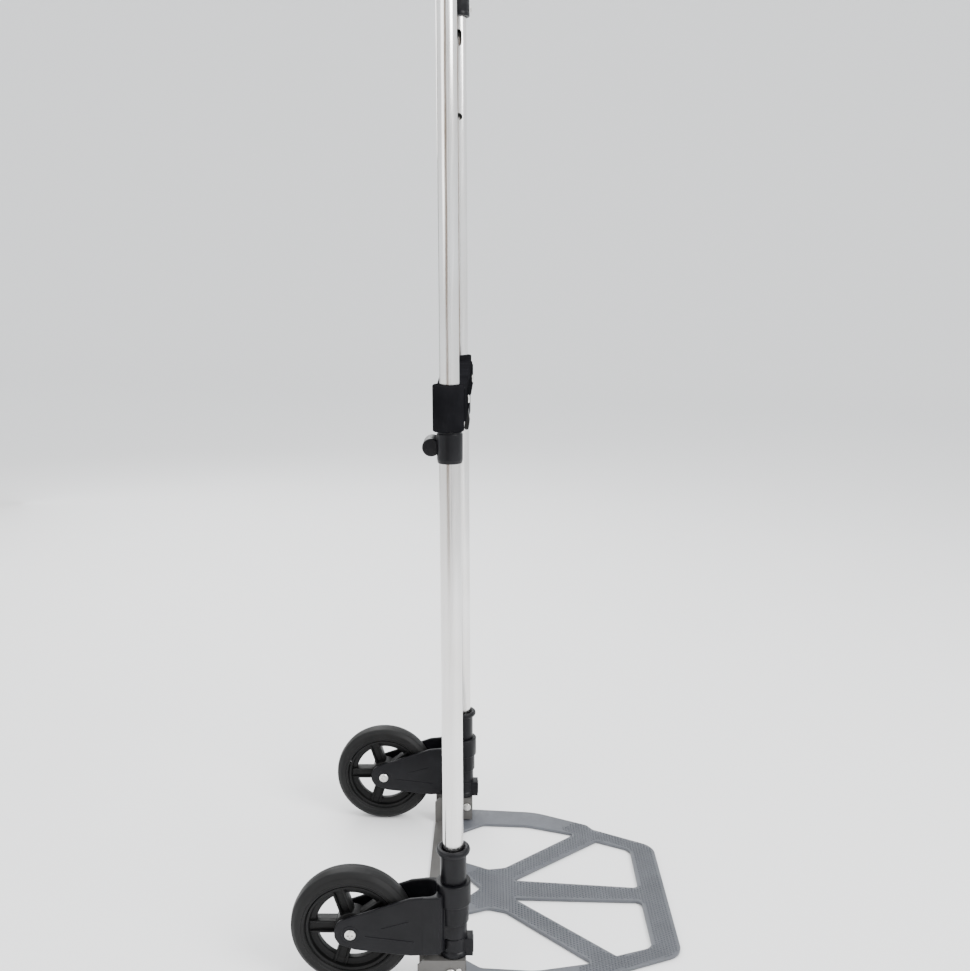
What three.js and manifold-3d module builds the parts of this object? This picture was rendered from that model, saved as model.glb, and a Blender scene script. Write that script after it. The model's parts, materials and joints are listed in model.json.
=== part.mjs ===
// Folding aluminium hand truck with a telescoping handle, millimetres.
// +X runs along the axles, -Y is the front (toe plate), +Z is up, and the floor is Z = 0.
// The tubes lean back a little, so everything on the frame is drawn upright in a leaning group.
import * as THREE from 'three';
import { mergeVertices } from 'three/addons/utils/BufferGeometryUtils.js';
import Module from 'manifold-3d';

const wasm = await Module();
wasm.setup();

// ---- driving dimensions ----
const LEAN = THREE.MathUtils.degToRad(2.4);
const GAP = 0.3;
const TUBE_X = 171.5;
const OUTER_R = 10.2;
const OUTER_BORE = 9.4;
const INNER_R = 9.1;
const INNER_BORE = 8.1;

const WHEEL_R = 62.5;
const AXLE_BACK = 102.8;
const TYRE_HALF = 13;
const RIM_R = 47;
const SPOKES = 5;
const RIM_BORE = 36.5;
const HUB_R = 17;
const HUB_HALF = 14;
const HUB_BORE = 6.8;
const AXLE_R = 3.9;

const FORK_OUTER = 20;
const FORK_INNER = 15.4;
const FORK_FLOOR = 38.5;
const FORK_TOP = 102.5;

const EAR_TOP = 31;
const SHEET = 3;
const PAN = 2;
const PAN_FRONT = 6;
const PAN_BACK = 36.5;
const EAR_FRONT = 12;
const EAR_OUT = 187;
const EAR_IN = 157;

const HINGE_FORWARD = 4.5;
const HINGE_Z = 24;
const PIN_R = 2.8;
const LUG_R = 5;
const LUG_X = [162, 182];
const PLATE_REACH = 244;
const PLATE_T = 4;
const PLATE_HALF = 189;
const PLATE_REAR = -5;

const FOOT_TOP = 51.5;
const RING_TOP = 111.5;
const COLLAR_TOP = 148.5;
const CLAMP_BOTTOM = 537;
const CLAMP_TOP = 566.4;
const CLAMP_R = 12.2;
const POST_BACK = 17.5;
const POST_Z = 551;
const LOCK_TOP = 610;
const LOCK_PIN_Z = 588;
const LOCK_HOLE_R = 4.2;
const MIDDLE_HOLE_Z = 887;
const SLEEVE_R = 13.4;
const SLEEVE_Y = 2.4;
const BRIDGE_FRONT = -15;
const BRIDGE_BACK = 14;
const BRIDGE_X = 150;
const BRIDGE_FLOOR = 572;
const BRIDGE_ROOF = 604;
const WALL = 2.2;
const TRIGGER_Y = -9.2;
const TRIGGER_PIVOT_Z = 590;
const TRIGGER_HALF = 11;
const TRIGGER_TIP_Z = 544;
const LOCK_PIN_R = 3.8;
const LOCK_PIN_INNER = 118;
const HANDLE_BOTTOM = 998;
const GRIP_Z = 1027;
const INNER_FOOT = 480;
const INNER_TOP = GRIP_Z - 14;
const GRIP_R = 15;
const BAR_R = 9;
const BAR_BORE = 7.8;
const BAR_HALF = 147;
const ELBOW_R = 13.2;
const ELBOW_BEND = 26;
const ELBOW_REACH = 44;
const TRAVEL = HANDLE_BOTTOM - LOCK_TOP - 2;

// The frame stands where its wheels touch the floor, and the origin is midway from front to back.
const FRAME_Z = WHEEL_R * (1 - Math.cos(LEAN)) + AXLE_BACK * Math.sin(LEAN);
const WHEEL_BACK = AXLE_BACK * Math.cos(LEAN) + WHEEL_R * Math.sin(LEAN) + WHEEL_R;
const FRAME_Y = (PLATE_REACH - WHEEL_BACK) / 2;
// Height of the floor in the leaning frame, at a distance behind the tubes.
const floorAt = (back) => (back * Math.sin(LEAN) - FRAME_Z) / Math.cos(LEAN);

// ---- materials ----
const finish = (color, roughness, metalness) =>
  new THREE.MeshStandardMaterial({ color, roughness, metalness });
const aluminium = finish(0xd4d2cf, 0.22, 1);
const steel = finish(0xb9b9b6, 0.3, 1);
const greyPaint = finish(0x6d7074, 0.5, 0.4);
const blackPlastic = finish(0x1b1c20, 0.5, 0);
const darkPlastic = finish(0x26272b, 0.6, 0);
const rubber = finish(0x1c1c1d, 0.75, 0);

// ---- solid helpers ----
function solid(geometry) {
  const flat = geometry.index ? geometry.toNonIndexed() : geometry.clone();
  flat.deleteAttribute('normal');
  flat.deleteAttribute('uv');
  const merged = mergeVertices(flat, 1e-4);
  const points = merged.attributes.position.array;
  const corners = [];
  const index = merged.index.array;
  let volume = 0;
  for (let i = 0; i < index.length; i += 3) {
    const [a, b, c] = [index[i], index[i + 1], index[i + 2]];
    if (a === b || b === c || a === c) continue;
    corners.push(a, b, c);
    const [p, q, r] = [a, b, c].map((k) => new THREE.Vector3().fromArray(points, 3 * k));
    volume += p.dot(q.cross(r));
  }
  if (volume < 0) corners.reverse();
  return new wasm.Manifold(new wasm.Mesh({
    numProp: 3,
    vertProperties: new Float32Array(points),
    triVerts: new Uint32Array(corners),
  }));
}

const join = (first, ...rest) => rest.reduce((body, next) => body.add(next), first);
const cut = (first, ...rest) => rest.reduce((body, next) => body.subtract(next), first);

function box(x0, x1, y0, y1, z0, z1) {
  const shape = new THREE.BoxGeometry(x1 - x0, y1 - y0, z1 - z0);
  return solid(shape.translate((x0 + x1) / 2, (y0 + y1) / 2, (z0 + z1) / 2));
}

// A profile of [radius, height] points turned about a line through (x, y, z) along X, Y or Z.
function turned(profile, axis = 'z', at = [0, 0, 0], sides = 20) {
  const shape = new THREE.LatheGeometry(profile.map(([r, h]) => new THREE.Vector2(r, h)), sides);
  if (axis === 'z') shape.rotateX(Math.PI / 2);
  if (axis === 'x') shape.rotateZ(-Math.PI / 2);
  return solid(shape.translate(...at));
}

const rod = (r, h0, h1, axis, at, sides) =>
  turned([[0, h0], [r, h0], [r, h1], [0, h1]], axis, at, sides);
const ring = (inner, outer, h0, h1, axis, at, sides) =>
  turned([[inner, h0], [outer, h0], [outer, h1], [inner, h1], [inner, h0]], axis, at, sides);

// A rod along X on one side, from near to far outward from the given place.
const sideRod = (r, side, near, far, at, sides) =>
  rod(r, Math.min(side * near, side * far), Math.max(side * near, side * far), 'x', at, sides);

// Corners given as [u, v, radius] become a closed outline with its corners rounded.
function rounded(corners, steps = 4) {
  const points = [];
  corners.forEach(([u, v, r = 0], i) => {
    const here = new THREE.Vector2(u, v);
    const [pu, pv] = corners[(i + corners.length - 1) % corners.length];
    const [nu, nv] = corners[(i + 1) % corners.length];
    if (!r) {
      points.push(here);
      return;
    }
    const back = new THREE.Vector2(pu - u, pv - v).normalize();
    const ahead = new THREE.Vector2(nu - u, nv - v).normalize();
    const half = Math.acos(THREE.MathUtils.clamp(back.dot(ahead), -1, 1)) / 2;
    const reach = r / Math.tan(half);
    const centre = back.clone().add(ahead).normalize().multiplyScalar(r / Math.sin(half)).add(here);
    const start = back.multiplyScalar(reach).add(here).sub(centre);
    const end = ahead.multiplyScalar(reach).add(here).sub(centre);
    const from = start.angle();
    let sweep = end.angle() - from;
    if (sweep > Math.PI) sweep -= 2 * Math.PI;
    if (sweep < -Math.PI) sweep += 2 * Math.PI;
    for (let k = 0; k <= steps; k += 1) {
      const angle = from + (sweep * k) / steps;
      points.push(new THREE.Vector2(centre.x + r * Math.cos(angle), centre.y + r * Math.sin(angle)));
    }
  });
  return points;
}

// An outline in X and Y, raised from z0 to z1.
function raised(points, z0, z1) {
  const depth = z1 - z0;
  const shape = new THREE.ExtrudeGeometry(new THREE.Shape(points), { depth, bevelEnabled: false });
  return solid(shape.translate(0, 0, z0));
}

// An outline in Y and Z, from x0 to x1.
function sideways(points, x0, x1) {
  const shape = new THREE.ExtrudeGeometry(new THREE.Shape(points), { depth: x1 - x0, bevelEnabled: false });
  shape.applyMatrix4(new THREE.Matrix4().set(0, 0, 1, x0, 1, 0, 0, 0, 0, 1, 0, 0, 0, 0, 0, 1));
  return solid(shape);
}

const truck = new THREE.Group();
const frame = new THREE.Group();
frame.position.set(0, FRAME_Y, FRAME_Z);
frame.rotation.x = -LEAN;
truck.add(frame);

function place(name, body, material, group = frame) {
  const found = body.getMesh();
  const geometry = new THREE.BufferGeometry();
  geometry.setAttribute('position', new THREE.BufferAttribute(found.vertProperties, 3));
  geometry.setIndex(new THREE.BufferAttribute(found.triVerts, 1));
  geometry.computeVertexNormals();
  const mesh = new THREE.Mesh(geometry, material);
  mesh.name = name;
  group.add(mesh);
}

// Both sides are alike: make(side) draws the piece with side = -1 on the left and +1 on the right.
function pair(name, make, material) {
  place(`left_${name}`, make(-1), material);
  place(`right_${name}`, make(1), material);
}

// ---- base ----
// The hinge line lies level with the floor, and this is its place in the leaning frame.
const hingeInFrame = [
  0,
  -HINGE_FORWARD * Math.cos(LEAN) - (HINGE_Z - FRAME_Z) * Math.sin(LEAN),
  (HINGE_Z - FRAME_Z) * Math.cos(LEAN) - HINGE_FORWARD * Math.sin(LEAN),
];

function baseFrame() {
  const over = (back, height) => [back, floorAt(back) + height];
  const outline = (corners) => corners.map(([u, v]) => new THREE.Vector2(u, v));
  const ear = outline([
    [-EAR_FRONT, EAR_TOP], over(-EAR_FRONT, PLATE_T + 2), over(PAN_FRONT, PLATE_T + 2), over(PAN_FRONT, 0),
    over(PAN_BACK, 0), [PAN_BACK, EAR_TOP - 6], [PAN_BACK - 6, EAR_TOP],
  ]);
  const pan = outline([over(PAN_FRONT, 0), over(PAN_BACK, 0), over(PAN_BACK, PAN), over(PAN_FRONT, PAN)]);
  let body = sideways(pan, -EAR_OUT, EAR_OUT);
  for (const side of [-1, 1]) {
    const middle = side * (EAR_OUT + EAR_IN) / 2;
    const half = (EAR_OUT - EAR_IN) / 2;
    body = join(
      body,
      sideways(ear, middle - half, middle - half + SHEET),
      sideways(ear, middle + half - SHEET, middle + half),
      box(middle - half, middle + half, -EAR_FRONT, PAN_BACK - 6, EAR_TOP - SHEET, EAR_TOP),
    );
  }
  return cut(body, rod(PIN_R + GAP, -EAR_OUT - 5, EAR_OUT + 5, 'x', hingeInFrame));
}

place('base_frame', baseFrame(), greyPaint);
pair('hinge_pin', (side) => join(
  sideRod(PIN_R, side, EAR_IN - GAP - 2, EAR_OUT + 0.5, hingeInFrame, 16),
  sideRod(LUG_R, side, EAR_IN - GAP - 2.5, EAR_IN - GAP, hingeInFrame, 16),
), steel);

// ---- toe plate, flat on the floor ----
function toePlate() {
  const mirror = (half) => [...half, ...half.map(([u, v, r]) => [-u, v, r]).reverse()];
  const forward = (corners) => rounded(corners.map(([u, v, r]) => [u, FRAME_Y - v, r]));
  const outline = forward(mirror([
    [PLATE_HALF, PLATE_REAR, 2], [PLATE_HALF - 1.5, 96, 70], [159, 163, 8],
    [148, 170, 8], [111.8, PLATE_REACH, 24],
  ]));
  const sideWindow = [
    [129.8, 0, 3], [151, 27, 10], [152, 84, 60], [134.6, 146, 4],
    [45.5, 54, 14], [40.5, 34, 10], [56.7, 0, 3],
  ];
  const frontWindow = [[18.5, 62.5, 2], [13.6, 212.4, 7], [102.5, 213, 14], [120.5, 172, 2]];
  const rearWindow = [[34.7, 0, 3], [0, 25.5, 2], [-34.7, 0, 3]];
  const otherSide = (corners) => corners.map(([u, v, r]) => [-u, v, r]);
  const holes = [sideWindow, otherSide(sideWindow), frontWindow, otherSide(frontWindow), rearWindow]
    .map((corners) => raised(forward(corners), -1, PLATE_T + 1));
  const hingeY = FRAME_Y - HINGE_FORWARD;
  const lugs = [-1, 1].map((side) => join(
    sideRod(LUG_R, side, ...LUG_X, [0, hingeY, HINGE_Z], 20),
    box(
      Math.min(side * LUG_X[0], side * LUG_X[1]), Math.max(side * LUG_X[0], side * LUG_X[1]),
      hingeY - LUG_R, hingeY + LUG_R, PLATE_T - 1, HINGE_Z,
    ),
  ));
  return cut(
    join(raised(outline, 0, PLATE_T), ...lugs),
    ...holes,
    rod(PIN_R + GAP, -EAR_OUT, EAR_OUT, 'x', [0, hingeY, HINGE_Z], 16),
  );
}
place('toe_plate', toePlate(), greyPaint, truck);

// ---- tube feet, collars and lower tubes ----
pair('foot', (side) => cut(
  join(
    rod(13.3, EAR_TOP + GAP, FOOT_TOP, 'z', [side * TUBE_X, 0, 0]),
    box(side * TUBE_X - 8, side * TUBE_X + 8, -19.5, 0, EAR_TOP + GAP, FOOT_TOP - 1),
    box(side * TUBE_X - 12.5, side * TUBE_X + 12.5, -11, 11, EAR_TOP + GAP, EAR_TOP + 5),
  ),
  rod(OUTER_R + GAP, EAR_TOP + 4, FOOT_TOP + 1, 'z', [side * TUBE_X, 0, 0]),
), blackPlastic);

pair('foot_rivet', (side) => turned(
  [[0, 0], [5.2, 0], [4.4, side * 1.8], [2.4, side * 2.8], [0, side * 3]],
  'x', [side * (EAR_OUT + GAP), 3, 17], 16,
), steel);

pair('collar', (side) => turned(
  [
    [OUTER_R + GAP, RING_TOP + GAP], [13.2, RING_TOP + GAP], [13.2, COLLAR_TOP - 7.6],
    [15.6, COLLAR_TOP - 6.2], [17.2, COLLAR_TOP - 3.4], [16.2, COLLAR_TOP - 1], [13.9, COLLAR_TOP], [11.7, COLLAR_TOP - 1],
    [10.8, COLLAR_TOP - 3.4], [OUTER_R + GAP, COLLAR_TOP - 6], [OUTER_R + GAP, RING_TOP + GAP],
  ],
  'z', [side * TUBE_X, 0, 0],
), blackPlastic);

pair('outer_tube', (side) => cut(
  ring(OUTER_BORE, OUTER_R, EAR_TOP + 4 + GAP, LOCK_TOP - 4, 'z', [side * TUBE_X, 0, 0]),
  rod(LOCK_HOLE_R, -6, 6, 'x', [side * (TUBE_X - OUTER_R), 0, LOCK_PIN_Z], 12),
), aluminium);

// ---- wheel forks, which swivel on the lower tubes ----
function fork(side) {
  const x = side * TUBE_X;
  const [nose, mid, near] = [AXLE_BACK, 43, 30];
  const profile = rounded([
    [nose + 16.2, WHEEL_R, 0], [nose + 12, WHEEL_R + 12, 5], [nose + 2, WHEEL_R + 17, 6],
    [mid, FORK_TOP - 1.3, 6],
    [near, FORK_TOP, 0], [15, FORK_TOP, 0], [15, FORK_FLOOR + 1.5, 2], [mid, FORK_FLOOR, 6],
    [nose - 4, WHEEL_R - 17.5, 8], [nose + 12, WHEEL_R - 11, 6],
  ], 3);
  const bay = (half, front, back) => rounded([
    [x - half, back, 0], [x - half, front, 12], [x + half, front, 12], [x + half, back, 0],
  ], 4);
  const plan = bay(FORK_OUTER, 8, nose + 30);
  const pocket = bay(FORK_INNER, 20, nose + 40);
  const arms = cut(raised(plan, 0, 140), raised(pocket, -1, 141))
    .intersect(sideways(profile, x - FORK_OUTER - 1, x + FORK_OUTER + 1));
  const rings = join(
    rod(17.5, 88, RING_TOP, 'z', [x, 0, 0]),
    rod(15.4, 67, 89, 'z', [x, 0, 0]),
    rod(13.6, FOOT_TOP + GAP, 68, 'z', [x, 0, 0]),
    box(x - 12, x + 12, 5, 19, FOOT_TOP + GAP, FORK_TOP - 4),
  );
  return cut(
    join(arms, rings),
    rod(OUTER_R + GAP, 0, 200, 'z', [x, 0, 0]),
    rod(4.3, -40, 40, 'x', [x, AXLE_BACK, WHEEL_R], 12),
  );
}
pair('fork', fork, blackPlastic);

// ---- wheels ----
const wheelAt = (side) => [side * TUBE_X, AXLE_BACK, WHEEL_R];
pair('tyre', (side) => turned([
  [RIM_R, -TYRE_HALF + 3], [RIM_R + 5, -TYRE_HALF], [WHEEL_R - 5, -TYRE_HALF + 0.6],
  [WHEEL_R - 1.2, -TYRE_HALF + 4], [WHEEL_R, -3], [WHEEL_R, 3], [WHEEL_R - 1.2, TYRE_HALF - 4],
  [WHEEL_R - 5, TYRE_HALF - 0.6], [RIM_R + 5, TYRE_HALF], [RIM_R, TYRE_HALF - 3], [RIM_R, -TYRE_HALF + 3],
], 'x', wheelAt(side), 32), rubber);

pair('wheel_rim', (side) => {
  const [x, y, z] = wheelAt(side);
  const felloe = join(
    ring(RIM_R - 3.5, RIM_R - GAP, -TYRE_HALF + 2.5, TYRE_HALF - 2.5, 'x', [x, y, z], 32),
    ring(RIM_BORE, RIM_R - 2, -5, 5, 'x', [x, y, z], 32),
  );
  const hub = rod(HUB_R, -HUB_HALF, HUB_HALF, 'x', [x, y, z], 20);
  let body = join(felloe, hub);
  for (let k = 0; k < SPOKES; k += 1) {
    const spoke = new THREE.BoxGeometry(14, 32, 13).translate(0, 28, 0);
    spoke.rotateX((2 * Math.PI * k) / SPOKES).translate(x, y, z);
    body = join(body, solid(spoke));
  }
  return cut(body, rod(HUB_BORE, -30, 30, 'x', [x, y, z], 16));
}, darkPlastic);

pair('wheel_bush', (side) => (
  ring(AXLE_R + GAP, HUB_BORE - GAP, -HUB_HALF, HUB_HALF, 'x', wheelAt(side), 16)
), steel);

pair('axle_bolt', (side) => {
  const out = FORK_OUTER + GAP;
  const head = [[0, out], [5.6, out], [5.4, out + 1.2], [4.2, out + 2], [0, out + 2.2]]
    .map(([r, h]) => [r, side * h]);
  return join(
    turned(head, 'x', wheelAt(side), 16),
    sideRod(AXLE_R, side, -21, out + 0.5, wheelAt(side), 12),
  );
}, steel);

pair('axle_nut', (side) => {
  const inner = [side * (TUBE_X - FORK_OUTER - GAP), AXLE_BACK, WHEEL_R];
  return cut(sideRod(5.8, side, -2.6, 0, inner, 16), sideRod(AXLE_R + GAP, side, -1.2, 1, inner, 12));
}, steel);

// ---- clamps and the lock housing at the top of the lower tubes ----
pair('lower_clamp', (side) => turned([
  [OUTER_R + GAP, CLAMP_BOTTOM], [OUTER_R + 0.9, CLAMP_BOTTOM], [12, CLAMP_BOTTOM + 2],
  [CLAMP_R, CLAMP_TOP - 1], [11.6, CLAMP_TOP], [OUTER_R + GAP, CLAMP_TOP], [OUTER_R + GAP, CLAMP_BOTTOM],
], 'z', [side * TUBE_X, 0, 0]), blackPlastic);

pair('cord_post', (side) => {
  const profile = [[0, 0], [7.6, 0], [8.5, -1], [8.5, -29], [7.6, -30], [0, -30]]
    .map(([r, out]) => [r, side * out]);
  return cut(
    turned(profile, 'x', [side * TUBE_X, POST_BACK, POST_Z], 20),
    rod(CLAMP_R + GAP, CLAMP_BOTTOM - 2, CLAMP_TOP + 2, 'z', [side * TUBE_X, 0, 0], 40),
  );
}, blackPlastic);

// The bridge between the sleeves is a beam whose underside arches up towards the middle.
function bridgeBeam(inset, y0, y1) {
  const shape = rounded([
    [-BRIDGE_X + inset, BRIDGE_ROOF - inset, 0], [-BRIDGE_X + inset, BRIDGE_FLOOR + inset, 0],
    [-52, BRIDGE_FLOOR + 4 + inset, 30], [52, BRIDGE_FLOOR + 4 + inset, 30],
    [BRIDGE_X - inset, BRIDGE_FLOOR + inset, 0], [BRIDGE_X - inset, BRIDGE_ROOF - inset, 0],
    [60, BRIDGE_ROOF + 5 - inset, 40], [-60, BRIDGE_ROOF + 5 - inset, 40],
  ], 3);
  const beam = new THREE.ExtrudeGeometry(new THREE.Shape(shape), { depth: y1 - y0, bevelEnabled: false });
  return solid(beam.rotateX(Math.PI / 2).translate(0, y1, 0));
}

function rearHousing() {
  let body = bridgeBeam(0, 0, BRIDGE_BACK);
  for (const side of [-1, 1]) {
    body = join(
      body,
      rod(SLEEVE_R, CLAMP_TOP + GAP, LOCK_TOP, 'z', [side * TUBE_X, SLEEVE_Y, 0]),
      box(side * 155 - 11, side * 155 + 11, -6, 12, BRIDGE_FLOOR, BRIDGE_ROOF),
    );
  }
  body = cut(body, bridgeBeam(WALL, -1, BRIDGE_BACK - WALL));
  for (const side of [-1, 1]) {
    body = cut(
      body,
      rod(OUTER_R + GAP, 0, LOCK_TOP - 3.5, 'z', [side * TUBE_X, 0, 0]),
      rod(INNER_R + GAP, 0, LOCK_TOP + 10, 'z', [side * TUBE_X, 0, 0]),
      rod(LOCK_HOLE_R, -18, 18, 'x', [side * (BRIDGE_X + 2), 0, LOCK_PIN_Z], 12),
    );
  }
  return body;
}
place('lock_housing', rearHousing(), blackPlastic);

const pivotRib = (x) => (
  box(x - 1.5, x + 1.5, BRIDGE_FRONT + 1, TRIGGER_Y + 4, TRIGGER_PIVOT_Z - 5, TRIGGER_PIVOT_Z + 5)
);
place('lock_cover', cut(
  join(
    cut(bridgeBeam(0, BRIDGE_FRONT, -GAP), bridgeBeam(WALL, BRIDGE_FRONT + WALL, 1)),
    pivotRib(-TRIGGER_HALF - 4), pivotRib(TRIGGER_HALF + 4),
  ),
  rod(1.8, -20, 20, 'x', [0, TRIGGER_Y, TRIGGER_PIVOT_Z], 10),
  box(BRIDGE_X - 7, BRIDGE_X + 1, -6.4, 1, BRIDGE_FLOOR - 2, BRIDGE_ROOF + 2),
  box(-BRIDGE_X - 1, -BRIDGE_X + 7, -6.4, 1, BRIDGE_FLOOR - 2, BRIDGE_ROOF + 2),
  box(-TRIGGER_HALF - 1.5, TRIGGER_HALF + 1.5, BRIDGE_FRONT + WALL, 1, BRIDGE_FLOOR - 2, BRIDGE_FLOOR + 12),
), blackPlastic);

pair('cover_screw', (side) => {
  const screw = [[0, 0], [4, 0], [3.8, 1], [2.6, 1.8], [0, 2]].map(([r, h]) => [r, -h]);
  return turned(screw, 'y', [side * 100, BRIDGE_FRONT - GAP, LOCK_PIN_Z], 12);
}, steel);

// ---- release trigger and lock pins ----
place('release_trigger', cut(
  sideways(rounded([
    [TRIGGER_Y - 3.2, TRIGGER_PIVOT_Z + 3, 2.5], [TRIGGER_Y - 3.2, 570, 3], [TRIGGER_Y - 4.5, 562, 4],
    [TRIGGER_Y - 5.8, 553, 3], [TRIGGER_Y - 4.5, TRIGGER_TIP_Z, 2.5], [TRIGGER_Y + 0.5, TRIGGER_TIP_Z, 2.5],
    [TRIGGER_Y - 0.5, 553, 3], [TRIGGER_Y + 1.5, 562, 4], [TRIGGER_Y + 3, 570, 3],
    [TRIGGER_Y + 3, TRIGGER_PIVOT_Z + 3, 2.5],
  ], 3), -TRIGGER_HALF, TRIGGER_HALF),
  rod(1.8, -12, 12, 'x', [0, TRIGGER_Y, TRIGGER_PIVOT_Z], 10),
), darkPlastic);
place('trigger_pin', rod(1.5, -18, 18, 'x', [0, TRIGGER_Y, TRIGGER_PIVOT_Z], 10), steel);
pair('lock_pin', (side) => join(
  sideRod(LOCK_PIN_R, side, LOCK_PIN_INNER, TUBE_X - OUTER_BORE - 0.2, [0, 0, LOCK_PIN_Z], 12),
  sideRod(6, side, LOCK_PIN_INNER, LOCK_PIN_INNER + 4, [0, 0, LOCK_PIN_Z], 12),
), steel);

// ---- telescoping handle ----
pair('inner_tube', (side) => {
  const face = side * (TUBE_X - INNER_R);
  const hole = (z) => rod(LOCK_HOLE_R, -6, 6, 'x', [face, 0, z], 12);
  const top = LOCK_PIN_Z + TRAVEL;
  return cut(
    ring(INNER_BORE, INNER_R, INNER_FOOT, INNER_TOP, 'z', [side * TUBE_X, 0, 0]),
    hole(LOCK_PIN_Z), hole(MIDDLE_HOLE_Z), hole(top + 5), hole(top - 5),
    box(face - 6, face + 6, -LOCK_HOLE_R, LOCK_HOLE_R, top - 5, top + 5),
  );
}, aluminium);

pair('guide_bush', (side) => turned([
  [0, INNER_FOOT - 6], [8.6, INNER_FOOT - 6], [9.1, INNER_FOOT - 5], [9.1, INNER_FOOT - GAP],
  [INNER_BORE - GAP, INNER_FOOT - GAP], [INNER_BORE - GAP, INNER_FOOT + 16], [0, INNER_FOOT + 16],
], 'z', [side * TUBE_X, 0, 0], 20), darkPlastic);

// Each elbow is a vertical socket for the tube that bends round into the crossbar.
pair('handle_elbow', (side) => {
  const at = (x, z) => new THREE.Vector3(side * x, 0, z);
  const below = at(TUBE_X, GRIP_Z - ELBOW_BEND);
  const inward = at(TUBE_X - ELBOW_BEND, GRIP_Z);
  const path = new THREE.CurvePath();
  path.add(new THREE.LineCurve3(at(TUBE_X, HANDLE_BOTTOM), below));
  path.add(new THREE.QuadraticBezierCurve3(below, at(TUBE_X, GRIP_Z), inward));
  path.add(new THREE.LineCurve3(inward, at(TUBE_X - ELBOW_REACH, GRIP_Z)));
  const section = new THREE.Shape(new THREE.EllipseCurve(0, 0, ELBOW_R, ELBOW_R).getPoints(16));
  return cut(
    solid(new THREE.ExtrudeGeometry(section, { extrudePath: path, steps: 9 })),
    rod(INNER_R + GAP, 0, INNER_TOP + GAP, 'z', [side * TUBE_X, 0, 0]),
    sideRod(BAR_R + GAP, side, 100, BAR_HALF + 1, [0, 0, GRIP_Z]),
  );
}, blackPlastic);

const GRIP_HALF = TUBE_X - ELBOW_REACH - 0.5;
place('crossbar', ring(BAR_BORE, BAR_R, -BAR_HALF, BAR_HALF, 'x', [0, 0, GRIP_Z]), aluminium);
place('grip', ring(BAR_R + GAP, GRIP_R, -GRIP_HALF, GRIP_HALF, 'x', [0, 0, GRIP_Z]), rubber);
pair('elbow_screw', (side) => turned(
  [[0, 0], [3.6, 0], [3.3, -1], [2.2, -1.7], [0, -1.9]],
  'y', [side * TUBE_X, -ELBOW_R - GAP, HANDLE_BOTTOM + 8], 12,
), steel);

export default truck;
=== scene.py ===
import json
import math

import bmesh
import bpy
from mathutils import Matrix, Vector


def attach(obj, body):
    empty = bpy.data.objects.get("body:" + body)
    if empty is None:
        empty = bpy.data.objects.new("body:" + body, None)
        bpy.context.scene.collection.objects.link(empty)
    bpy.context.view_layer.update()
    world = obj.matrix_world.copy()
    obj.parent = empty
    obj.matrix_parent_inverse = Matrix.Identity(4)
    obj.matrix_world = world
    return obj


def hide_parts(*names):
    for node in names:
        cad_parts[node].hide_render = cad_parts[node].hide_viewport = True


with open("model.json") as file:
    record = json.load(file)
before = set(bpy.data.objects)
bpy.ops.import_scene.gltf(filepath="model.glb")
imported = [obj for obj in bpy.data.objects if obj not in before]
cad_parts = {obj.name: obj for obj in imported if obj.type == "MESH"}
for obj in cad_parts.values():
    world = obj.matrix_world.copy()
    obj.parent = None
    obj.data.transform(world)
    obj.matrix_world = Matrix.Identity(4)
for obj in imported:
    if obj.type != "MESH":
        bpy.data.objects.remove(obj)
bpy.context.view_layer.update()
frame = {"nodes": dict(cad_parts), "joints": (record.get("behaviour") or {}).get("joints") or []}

# Lengths below are millimetres in the truck's own frame, which leans back with the tubes: x along the
# axles, y behind the tubes and z up the tubes. LEANING turns them into metres in the row frame.
JOINTS = {joint["name"]: joint for joint in frame["joints"]}
SWIVEL = JOINTS["right_fork_swivel"]
LEAN = math.atan2(SWIVEL["axis"][1], SWIVEL["axis"][2])
FRAME_AT = Vector((0, SWIVEL["pos_m"][1], SWIVEL["pos_m"][2]))
LEANING = Matrix.Translation(FRAME_AT) @ Matrix.Rotation(-LEAN, 4, "X") @ Matrix.Scale(0.001, 4)
FLAT = Matrix.Translation((0, FRAME_AT.y, 0)) @ Matrix.Scale(0.001, 4)

TUBE_X = SWIVEL["pos_m"][0] * 1000
OUTER_R, OUTER_BORE = 10.2, 9.4
INNER_R, INNER_BORE = 9.1, 8.1
GAP = 0.3
WHEEL_R, AXLE_BACK, TYRE_HALF, RIM_R, RIM_BORE, SPOKES = 62.5, 102.8, 13.0, 47.0, 36.5, 5
AXLE_R, AXLE_HOLE_R, HUB_HALF, HUB_R, HUB_BORE = 3.9, 4.2, 14.0, 17.0, 6.8
AXLE_HEAD_R, AXLE_HEAD_H, NUT_R, NUT_H = 5.6, 2.2, 5.8, 2.5
FORK_OUTER, FORK_INNER, FORK_FLOOR, FORK_TOP = 20.0, 15.4, 38.5, 102.5
EAR_TOP, EAR_OUT, EAR_IN = 31.0, 187.0, 157.0
HINGE_Y, HINGE_Z = (1000 * metres for metres in JOINTS["toe_plate_fold"]["pos_m"][1:])
HINGE_FORWARD = FRAME_AT.y * 1000 - HINGE_Y
PIN_R, LUG_R, LUG_X = 2.8, 5.0, (162.0, 182.0)
PLATE_HALF, PLATE_REACH, PLATE_REAR, PLATE_T = 189.0, 244.0, -5.0, 4.0
FOOT_TOP, RING_TOP, COLLAR_TOP = 51.5, 111.5, 148.5
CLAMP_BOTTOM, CLAMP_TOP, CLAMP_R, POST_BACK, POST_Z = 537.0, 566.4, 12.2, 17.5, 551.0
LOCK_TOP, LOCK_PIN_Z, SLEEVE_Y, SLEEVE_R = 610.0, 588.0, 2.4, 13.4
LOCK_PIN_R, LOCK_PIN_INNER, LOCK_HOLE_R, MIDDLE_HOLE_Z, SLOT_HALF = 3.8, 118.0, 4.2, 887.0, 9.2
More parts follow.
